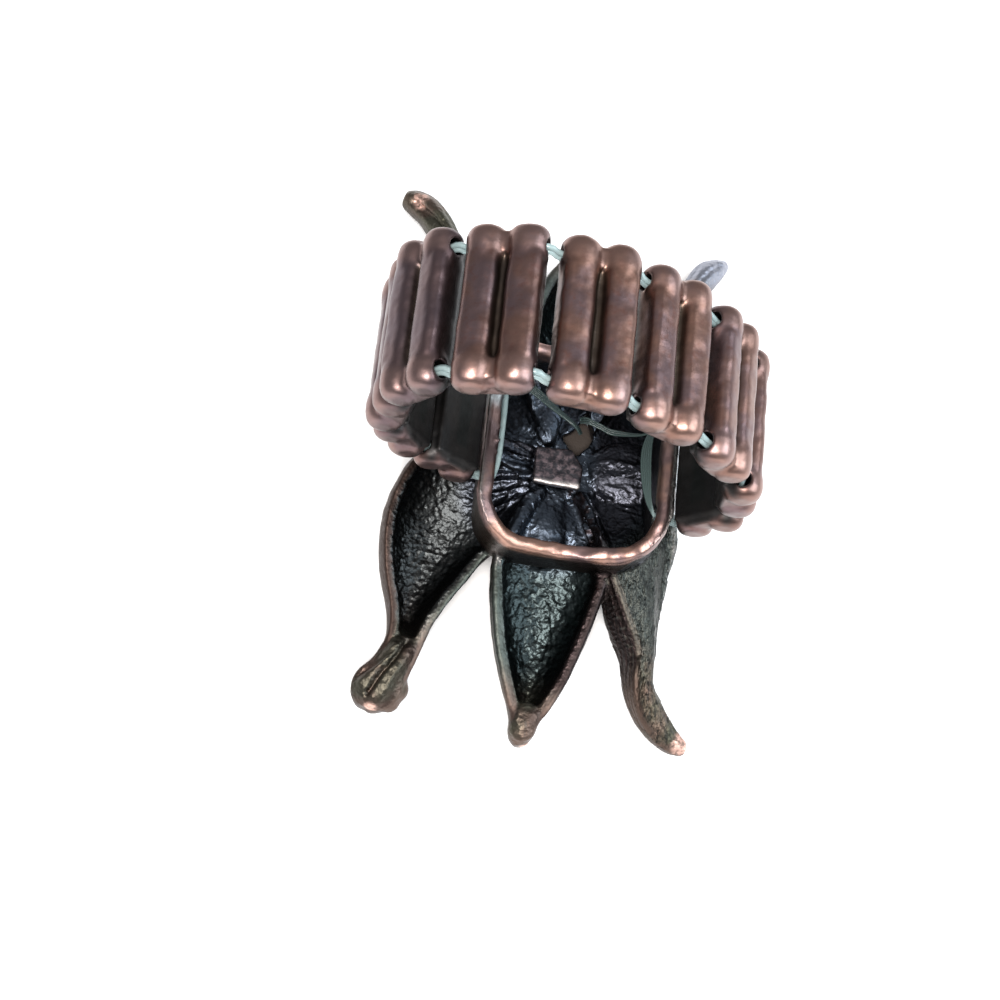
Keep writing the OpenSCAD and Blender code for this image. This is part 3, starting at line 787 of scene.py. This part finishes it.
def tint(head, at):
    """Marks on the head for its finish: where its plate is dark, matt or of another colour, where wear and a
    painted highlight brighten the tips, and where shade is painted on.
    """
    in_hub, off_rim, on_lip = step(-9.6, -10.4, at.z), step(0.55, 0.8, at.rim), step(0.22, 0.05, at.lip)
    mark(head, "inside", at.inner * step(0.8, 0.35, at.far) * step(0.0, 0.2, at.lip))
    mark(head, "rim", step(0.8, 0.45, at.rim))
    mark(head, "lip", on_lip * step(6.0, 8.0, at.hub))
    # painted shade: darker on the faces that turn down
    mark(head, "low", step(0.5, -0.35, at.facing) * step(0.5, 0.8, at.rim))
    mark(head, "pale", by_petal(at, 0.0, high_right=1.0) * step(14.0, 16.5, at.y))
    mark(head, "root", step(7.5, 5.0, at.hub) * in_hub)
    mark(head, "tip", np.maximum(step(13.0, 17.0, np.abs(at.y)), 1 - at.hollow))
    wall = step(-12.5, -11.5, at.z) * step(0.5, 0.9, at.rim) * step(0.5, 0.2, np.abs(at.facing))
    mark(head, "wall", wall * step(-2.5, -5.0, at.x))
    mark(head, "slate", wall * step(-5.0, -2.5, at.x))
    mark(head, "olive", by_petal(at, 0.05, low_right=1.0) * step(5.5, 7.5, at.hub))
    brown = by_petal(at, 0.0, low_left=1.0, low_right=0.5) * step(-110, -60, at.angle)
    mark(head, "brown", brown * step(6.0, 8.0, at.hub) * np.maximum(1 - at.inner, on_lip))
    # wear on the tips, brightened further as a painted highlight
    worn = np.zeros(len(at.x))
    for *place, reach in WORN_GLINTS:
        far = np.linalg.norm(at.places - np.array(place), axis=1)
        worn = np.maximum(worn, step(1.0, 0.45, far / reach))
    mark(head, "worn", worn)
    # painted shade on petal edges, necks, flanks and sides, and on the hub's right
    edge = step(-150, -170, at.angle) * step(-16.2, -14.6, at.y)
    neck = 0.5 * step(-16.2, -16.6, at.y) * step(-17.8, -17.2, at.y)
    flank = (1 - at.inner) * step(-110, -80, at.angle) * step(0.9, 0.6, at.facing) * step(-15.5, -12.0, at.y)
    side = np.where(at.inner == 1, 0.4, 0.65 * step(-120, -90, at.angle))
    hub_shade = 0.6 * step(1.2, 2.2, at.x) * step(6.8, 5.5, at.hub) * in_hub
    mark(head, "shade", by_petal(at, 0.0, low=edge + neck, low_right=flank, low_left=side) + hub_shade)
    mark(head, "matt", by_petal(at, 0.0, low_right=1.0) * step(5.5, 7.0, at.hub) * off_rim
         * step(0.0, 0.15, at.lip))
    # painted shade: a darker plum tone on the rim's left side
    mark(head, "plum", step(-4.6, -5.2, at.x) * step(-3.6, -1.8, at.y) * step(0.9, 0.5, at.rim))
    mark(head, "solder", step(-4.6, -5.0, at.x) * step(1.2, 2.2, at.y) * step(-10.0, -9.2, at.z))


def flower_head():
    rim = rim_line()
    head = cast_head(rim)
    guides = (*head_samples(), rim, lip_samples())
    carve(head, survey(head, *guides))
    triangles = sum(len(f.vertices) - 2 for f in head.data.polygons)
    finish_modifier(head, "DECIMATE", ratio=min(1, HEAD_TRIANGLES / triangles))
    tint(head, survey(head, *guides))
    set_in_place(head)
    smooth_shade(head)
    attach(head, "root")
    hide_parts("flower_head")
    head.data.materials.clear()
    return head


def post():
    """The post's square plate with its rounded edge, and its stem through the hub to the flower's centre."""
    plate = prism("post_plate", [(POST[0] + x, POST[1] + y) for x, y in PLATE], -11.95, -11.45)
    edit_all(plate)
    bpy.ops.mesh.bevel(offset=0.12, segments=3, affect="EDGES")
    put_down()
    stem = rod("stem", (*POST, -12.9), 1.0, 2.5, "Z", 32)
    centre = pebble("flower_centre", (*POST, CENTRE_Z), (CENTRE_R,) * 3)
    cut(centre, block("cut_above", (-8, -8, CENTRE_BACK), (8, 8, -3.9), 0.01))
    cut(centre, block("cut_below", (-8, -8, -25), (8, 8, CENTRE_FACE), 0.01))
    piece = joined("stamen_post_end", [plate, stem, centre])
    cast_smooth(piece, 0.09, 2)
    p = spots(piece)
    move_out(piece, 0.03 * grain(p, 0.5, 5) * step(-12, -11.5, p[:, 2]))
    p = spots(piece)
    mark(piece, "edge", step(-0.95, -1.3, p[:, 1] - POST[1]) * step(-11.75, -11.5, p[:, 2]))
    mark(piece, "back", step(-12.6, -13.4, p[:, 2]))
    set_in_place(piece)
    smooth_shade(piece)
    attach(piece, "root")
    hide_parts("stamen_post")
    piece.data.materials.clear()
    return piece


# Elastic
def run_route(end):
    """One run: out of the gallery's left hole, through every bead and into its right hole."""
    # across, distance of a run from the middle, shift along, height
    left = ((-5.3, 3.4, 0.6, -8.25), (-5.75, 3.4, 0.6, -8.25), (-6.1, 3.42, 0.63, -8.22),
            (-6.5, 3.55, 0.77, -8.03), (-6.78, 3.67, 0.94, -7.65))
    right = ((6.68, 3.7, -0.8, -6.8), (6.66, 3.66, -0.78, -7.25), (6.62, 3.6, -0.73, -7.68),
             (6.44, 3.5, -0.66, -8.02), (6.05, 3.42, -0.61, -8.17), (5.7, 3.4, -0.6, -8.2),
             (5.3, 3.4, -0.6, -8.2))
    reach = 2.15
    route = [Vector((x, end * far + shift, z)) for x, far, shift, z in left]
    for x, y, z, turn in BEADS:
        r = math.radians(turn)
        way, out = Vector((math.cos(r), 0, -math.sin(r))), Vector((math.sin(r), 0, math.cos(r)))
        for s in (-1, 0, 1):
            route.append(Vector((x, y + end * HOLE_AT, z)) + way * s * reach + out * HOLE_LIFT)
    return route + [Vector((x, end * far + shift, z)) for x, far, shift, z in right]


def leg_routes():
    """The legs along the gallery's two side walls: each strand's radius, then its points."""
    legs = [(0.2, (-5.3, 4.0, -8.25), (-5.08, 3.4, -8.3), (-5.0, 2.2, -8.3), (-5.0, 0.5, -8.3),
             (-5.05, -1.6, -8.3), (-5.3, -2.8, -8.25))]
    for k in range(5):
        x = 4.25 + 0.13 * k
        legs.append((0.09, (5.3, 2.8, -8.2), ((x + 4.95) / 2, 1.8, -8.4), (x, 0.5, -8.5),
                     (x + 0.1, -1.2, -8.5), ((x + 4.95) / 2 + 0.15, -2.9, -8.4), (5.3, -4.0, -8.2)))
    return legs


def slack_routes():
    """Thin strands that lie slack across the hollow, on the finger's side of the petals."""
    routes = []
    for k in range(5):
        a = Vector((-3.6 + 0.06 * k, 3.5 + 0.22 * k, -8.3 - 0.25 * k))
        b = Vector((-0.4 + 0.08 * k, 1.55 + 0.18 * k, -8.4 - 0.4 * k))
        routes.append([(-5.3, 4.0, -8.25), a, a.lerp(b, 0.5), b, b + Vector((0.5, -0.3, -0.6))])
    for k in range(3):
        a = Vector((0.5, 1.85 + 0.28 * k, -8.4 - 0.3 * k))
        b = Vector((2.3, 1.3 + 0.26 * k, -8.4 - 0.3 * k))
        start = a + Vector((-0.4, 0.15, -0.5))
        routes.append([start, a, a.lerp(b, 0.5), b, (4.4, 1.7, -8.5), (5.3, 2.8, -8.2)])
    return routes


def thread():
    """The clear elastic: three strands through every bead, and single strands inside the gallery."""
    strands = []
    for end in (-1, 1):
        middle = smooth_rows([tuple(p) for p in run_route(end)], 3)
        for dy, dz in ((0.0, 0.17), (0.15, -0.09), (-0.15, -0.09)):
            strands.append(tube("strand", [(x, y + dy, z + dz) for x, y, z in middle], 0.17, sides=2))
    for radius, *route in leg_routes():
        strands.append(tube("strand", smooth_rows(route, 5), radius, sides=3))
    for route in slack_routes():
        strands.append(tube("strand", smooth_rows(route, 5), 0.075, sides=2))
    piece = joined("elastic_strands", strands)
    p = spots(piece)
    # painted shade on the strands deep in the gallery
    mark(piece, "deep", step(-4.7, -4.3, p[:, 0]) * step(5.25, 5.0, p[:, 0]) * step(-7.8, -8.1, p[:, 2]))
    set_in_place(piece)
    smooth_shade(piece)
    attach(piece, "root")
    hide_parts("elastic")
    piece.data.materials.clear()
    return piece


# Finishes
class Wire:
    """A value on its way through a finish, so that shader maths reads as Python."""

    def __init__(self, finish, socket):
        self.finish, self.socket = finish, socket

    def maths(self, operation, a, b):
        return self.finish.add("ShaderNodeMath", {"operation": operation}, {0: a, 1: b})

    def __add__(self, other): return self.maths("ADD", self, other)
    def __radd__(self, other): return self.maths("ADD", other, self)
    def __sub__(self, other): return self.maths("SUBTRACT", self, other)
    def __rsub__(self, other): return self.maths("SUBTRACT", other, self)
    def __mul__(self, other): return self.maths("MULTIPLY", self, other)
    def __rmul__(self, other): return self.maths("MULTIPLY", other, self)

    def between(self, low, high):
        """A smooth step from 0 at low to 1 at high."""
        return self.finish.add("ShaderNodeMapRange", {"interpolation_type": "SMOOTHSTEP"},
                               {"Value": self, "From Min": low, "From Max": high}, "Result")


class Finish:
    """A material whose nodes are added by one method."""

    def __init__(self, name, **constants):
        self.material = bpy.data.materials.new(name)
        self.material.use_nodes = True
        self.tree = self.material.node_tree
        self.tree.nodes.clear()
        out = self.tree.nodes.new("ShaderNodeOutputMaterial")
        self.shader = self.tree.nodes.new("ShaderNodeBsdfPrincipled")
        self.tree.links.new(self.shader.outputs[0], out.inputs["Surface"])
        for key, value in constants.items():
            self.shader.inputs[key.replace("_", " ")].default_value = value

    def add(self, kind, settings=None, inputs=None, output=0):
        node = self.tree.nodes.new(kind)
        for key, value in (settings or {}).items():
            setattr(node, key, value)
        for key, value in (inputs or {}).items():
            socket = node.inputs[key]
            if isinstance(value, Wire):
                self.tree.links.new(value.socket, socket)
            elif value is not None:
                socket.default_value = (*value, 1) if socket.type == "RGBA" else value
        return Wire(self, node.outputs[output])

    def place(self, scale):
        """Object coordinates in millimetres, stretched by the three numbers of scale."""
        spot = self.add("ShaderNodeTexCoord", output="Object")
        return self.add("ShaderNodeVectorMath", {"operation": "MULTIPLY"},
                        {0: spot, 1: tuple(s / MM for s in scale)}, "Vector")

    def cloud(self, size, detail=3.0, rough=0.5, stretch=(1, 1, 1)):
        return self.add("ShaderNodeTexNoise", None, {
            "Vector": self.place(tuple(s / size for s in stretch)), "Scale": 1.0, "Detail": detail,
            "Roughness": rough}, "Fac")

    def cells(self, size):
        return self.add("ShaderNodeTexVoronoi", {"feature": "F1"},
                        {"Vector": self.place((1 / size,) * 3), "Scale": 1.0}, "Distance")

    def marks(self, names):
        """The values that were kept at the vertices under these names."""
        return [self.add("ShaderNodeAttribute", {"attribute_name": name}, None, "Fac")
                for name in names.split()]

    def blend(self, a, b, factor):
        return self.add("ShaderNodeMix", {"data_type": "RGBA"}, {0: factor, 6: a, 7: b}, 2)

    def coats(self, colour, *coats):
        """Lays colours one over another, each as strongly as its value says."""
        for over, strength in coats:
            colour = self.blend(colour, over, strength)
        return colour

    def bump(self, height, distance, strength=1.0, under=None):
        return self.add("ShaderNodeBump", None, {"Height": height, "Distance": distance * MM,
                                                "Strength": strength, "Normal": under}, "Normal")

    def feed(self, **links):
        for key, value in links.items():
            self.tree.links.new(value.socket, self.shader.inputs[key.replace("_", " ")])
        return self.material


def copper_finish():
    """Antique copper plate: brown and plum patches, dark grooves, knobs brightened by wear and a painted
    highlight, and painted shade on the faces that turn down, the rib sides, the underside and round the
    holes.
    """
    f = Finish("antique_copper", Metallic=1.0)
    dark, knob, groove, low, plum = f.marks("dark knob groove low plum")
    large, small = f.cloud(2.6, 3), f.cloud(0.5, 4, 0.6)
    body = f.blend((0.2, 0.112, 0.086), (0.16, 0.108, 0.11), large.between(0.35, 0.65))
    colour = f.coats(
        body,
        ((0.14, 0.065, 0.05), small.between(0.48, 0.72) * 0.6),
        ((0.095, 0.072, 0.082), plum * 0.75),
        # knob tops brightened by wear, with a painted highlight
        ((0.42, 0.27, 0.23), knob * 0.3),
        ((0.05, 0.04, 0.031), groove * 0.9),
        # painted shade on the faces that turn down
        ((0.07, 0.04, 0.034), low * 0.75),
        # painted shade on the rib sides, the underside and round the holes
        ((0.022, 0.025, 0.025), dark * 0.92))
    rough = 0.3 + 0.16 * small + 0.08 * dark
    skin = f.bump(f.cloud(0.45, 3, 0.55), 0.03, 0.4)
    return f.feed(Base_Color=colour, Roughness=rough, Normal=skin)


def casting_finish():
    """Blackened plate, near black in the hollows, with copper showing on the rim and through wear on the
    tips, where a highlight is also painted, and painted shade on the faces that turn down, on parts of the
    petals and the hub, and on the rim's left side.
    """
    f = Finish("blackened_casting", Metallic=1.0)
    inside, rim, lip, tip, root, wall, slate, olive = f.marks("inside rim lip tip root wall slate olive")
    brown, worn, solder, low, pale, shade, matt, plum = f.marks("brown worn solder low pale shade matt plum")
    large, small = f.cloud(3.0, 3), f.cloud(0.4, 4, 0.6)
    combed = (1.0, 0.3, 0.6)
    outside = f.blend((0.10, 0.105, 0.10), (0.13, 0.12, 0.115), large.between(0.35, 0.65))
    hollow = f.blend((0.026, 0.034, 0.035), (0.038, 0.041, 0.037), olive)
    lips = f.blend((0.055, 0.066, 0.058), (0.15, 0.1, 0.08), tip)
    lips = f.blend(lips, (0.08, 0.055, 0.042), brown)
    tips = f.blend((0.085, 0.08, 0.058), (0.13, 0.088, 0.07), large.between(0.4, 0.6))
    copper = f.blend((0.46, 0.27, 0.21), (0.24, 0.16, 0.155), large.between(0.42, 0.58))
    streaks = f.cloud(0.2, 3, 0.6, combed).between(0.48, 0.62)
    colour = f.coats(
        outside,
        (hollow, inside),
        ((0.066, 0.08, 0.102), root),
        ((0.085, 0.055, 0.042), brown * 0.85),
        ((0.085, 0.06, 0.05), wall),
        ((0.075, 0.085, 0.1), slate),
        (lips, lip * 0.85),
        (tips, tip * (1 - lip) * 0.85),
        ((0.012, 0.014, 0.014), matt * streaks * 0.75),
        ((0.024, 0.016, 0.016), shade * 0.92),
        ((0.3, 0.31, 0.36), pale),
        # painted shade on the faces that turn down
        ((0.04, 0.031, 0.026), low * 0.8),
        # copper where wear shows on the tips, with a painted highlight
        ((0.62, 0.4, 0.33), worn * (0.35 + small.between(0.38, 0.58))),
        (copper, rim),
        # painted shade on the rim's left side
        ((0.13, 0.092, 0.09), plum * 0.8),
        ((0.33, 0.34, 0.34), solder))
    rough = 0.35 + 0.16 * small - 0.1 * inside + 0.08 * lip + 0.12 * tip * (1 - rim) + 0.04 * matt
    skin = f.bump(f.cells(0.22) * (1 - 0.85 * rim), 0.04, 0.5)
    skin = f.bump(f.cells(0.38) * inside * (1 - lip), 0.09, 0.55, skin)
    skin = f.bump(f.cloud(0.22, 3, 0.6, combed) * matt, 0.2, 1.0, skin)
    skin = f.bump(small * (1 - 0.6 * rim), 0.04, 0.6, skin)
    return f.feed(Base_Color=colour, Roughness=rough, Normal=skin)


def post_finish():
    """The post's dull plate with one bright edge, and plain brown metal behind it."""
    f = Finish("post_plate_metal", Metallic=1.0)
    edge, back = f.marks("edge back")
    small = f.cloud(0.3, 4, 0.6)
    body = f.blend((0.05, 0.048, 0.055), (0.15, 0.12, 0.13), small.between(0.42, 0.66))
    colour = f.coats(body, ((0.055, 0.042, 0.034), back), ((0.42, 0.39, 0.38), edge))
    return f.feed(Base_Color=colour, Roughness=0.4 + 0.2 * small + 0.3 * back, Metallic=1 - back,
                  Normal=f.bump(small, 0.05, 0.6))


def elastic_finish():
    """Clear elastic with a pale green-blue cast, with painted shade where it lies deep in the gallery."""
    f = Finish("clear_elastic", Metallic=0.0, Roughness=0.2, IOR=1.45, Transmission_Weight=0.4)
    deep, = f.marks("deep")
    colour = f.blend((0.27, 0.37, 0.38), (0.46, 0.58, 0.58), f.cloud(0.5, 2))
    # painted shade where the elastic lies deep in the gallery
    return f.feed(Base_Color=f.blend(colour, (0.08, 0.12, 0.115), deep))


# Floor, light and camera
def studio():
    put_down()
    bpy.ops.mesh.primitive_plane_add(size=4, location=(0, 0, 0))
    floor = fresh("studio_floor")
    paper = Finish("studio_paper", Roughness=0.9, Base_Color=(0.93, 0.93, 0.93, 1))
    floor.data.materials.append(paper.material)
    world = bpy.data.worlds.new("studio_air")
    bpy.context.scene.world = world
    world.use_nodes = True
    air = world.node_tree.nodes["Background"].inputs
    air["Color"].default_value = (0.93, 0.96, 1.0, 1)
    air["Strength"].default_value = 0.42
    # name, place in metres, width and height, power, colour
    for name, place, size, power, colour in (
            ("window_light", (-0.04, -0.12, 0.32), (0.14, 0.14), 1.9, (1.0, 0.96, 0.93)),
            ("side_light", (0.3, -0.02, 0.26), (0.28, 0.28), 1.8, (0.84, 0.93, 1.0))):
        bpy.ops.object.light_add(type="AREA", location=place)
        light = fresh(name)
        light.data.shape = "RECTANGLE"
        light.data.size, light.data.size_y = size
        light.data.energy, light.data.color = power, colour
        light.rotation_euler = (Vector((0, 0, 0.01)) - Vector(place)).to_track_quat("-Z", "Y").to_euler()


def camera():
    """At the photograph's place: over the band, from the near side, turned a little."""
    look, up = Vector(LOOK).normalized(), Vector(PICTURE_UP).normalized()
    side = look.cross(up).normalized()
    up = side.cross(look)
    bpy.ops.object.camera_add()
    eye = fresh("photo_camera")
    eye.matrix_world = Matrix.Translation(Vector(EYE)) @ Matrix((side, up, -look)).transposed().to_4x4()
    eye.data.lens, eye.data.sensor_width = 58.81, 36
    eye.data.clip_start, eye.data.clip_end = 0.005, 20
    bpy.context.scene.camera = eye


# The ring
beads = band(cast_bead())
head = flower_head()
stamen = post()
elastic = thread()
copper = copper_finish()
for bead in beads:
    bead.data.materials.append(copper)
head.data.materials.append(casting_finish())
stamen.data.materials.append(post_finish())
elastic.data.materials.append(elastic_finish())
studio()
camera()
bpy.context.scene.view_settings.view_transform = "Standard"
